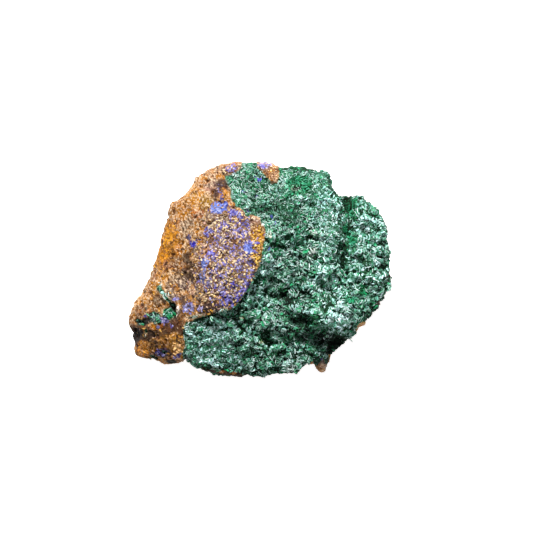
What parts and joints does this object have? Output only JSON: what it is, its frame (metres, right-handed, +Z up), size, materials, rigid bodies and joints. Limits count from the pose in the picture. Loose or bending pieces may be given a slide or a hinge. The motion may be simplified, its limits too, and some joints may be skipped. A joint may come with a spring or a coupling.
{
  "type": "azurite malachite specimen",
  "caption": "Natural hand specimen: malachite crystal crust and a speckled azurite plate on orange-brown limonite, lying on its flat broken back.",
  "frame": {"origin": "middle of the bounding box on the plan, at the level of the resting face", "axes": "+X along the longest side of the plan, from the corner knob and the azurite plate towards the east lobe of the malachite crust; +Y towards the long rounded north rim; +Z up, out of the crystal face"},
  "size_m": [0.0657, 0.054, 0.0218],
  "materials": {
    "malachite_crust": "matte",
    "azurite_plate": "matte",
    "limonite_matrix": "matte"
  },
  "bodies": {
    "root": {"azurite_malachite_stone": "malachite_crust"}
  },
  "joints": []
}
